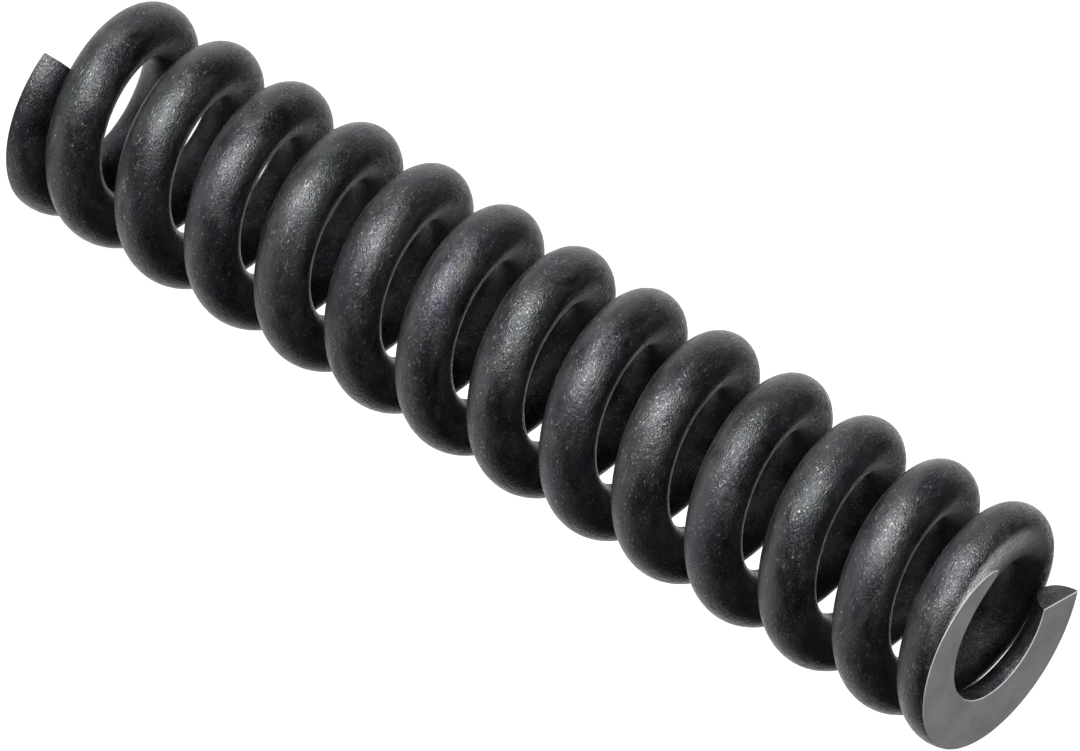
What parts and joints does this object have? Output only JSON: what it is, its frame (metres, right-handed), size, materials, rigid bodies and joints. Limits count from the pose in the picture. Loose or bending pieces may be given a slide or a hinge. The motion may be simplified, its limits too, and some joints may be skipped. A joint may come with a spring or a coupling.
{
  "type": "compression spring",
  "caption": "Helical compression spring of heavy round wire, right-hand wound, with closed and ground flat ends; pushes back when squeezed along its axis.",
  "frame": {"origin": "centre of the ground bottom end, on the coil axis, at the height of the ground face", "axes": "+Z along the coil axis, from the ground bottom end to the ground top end; +X through the sheared tip of the bottom end; right-handed, metres"},
  "size_m": [0.011, 0.011, 0.0522],
  "materials": {
    "black_oxide_steel": "satin black oxide on steel wire, bare ground faces at both ends a little lighter and flatter"
  },
  "bodies": {
    "root": {"spring": "black_oxide_steel"}
  },
  "joints": []
}
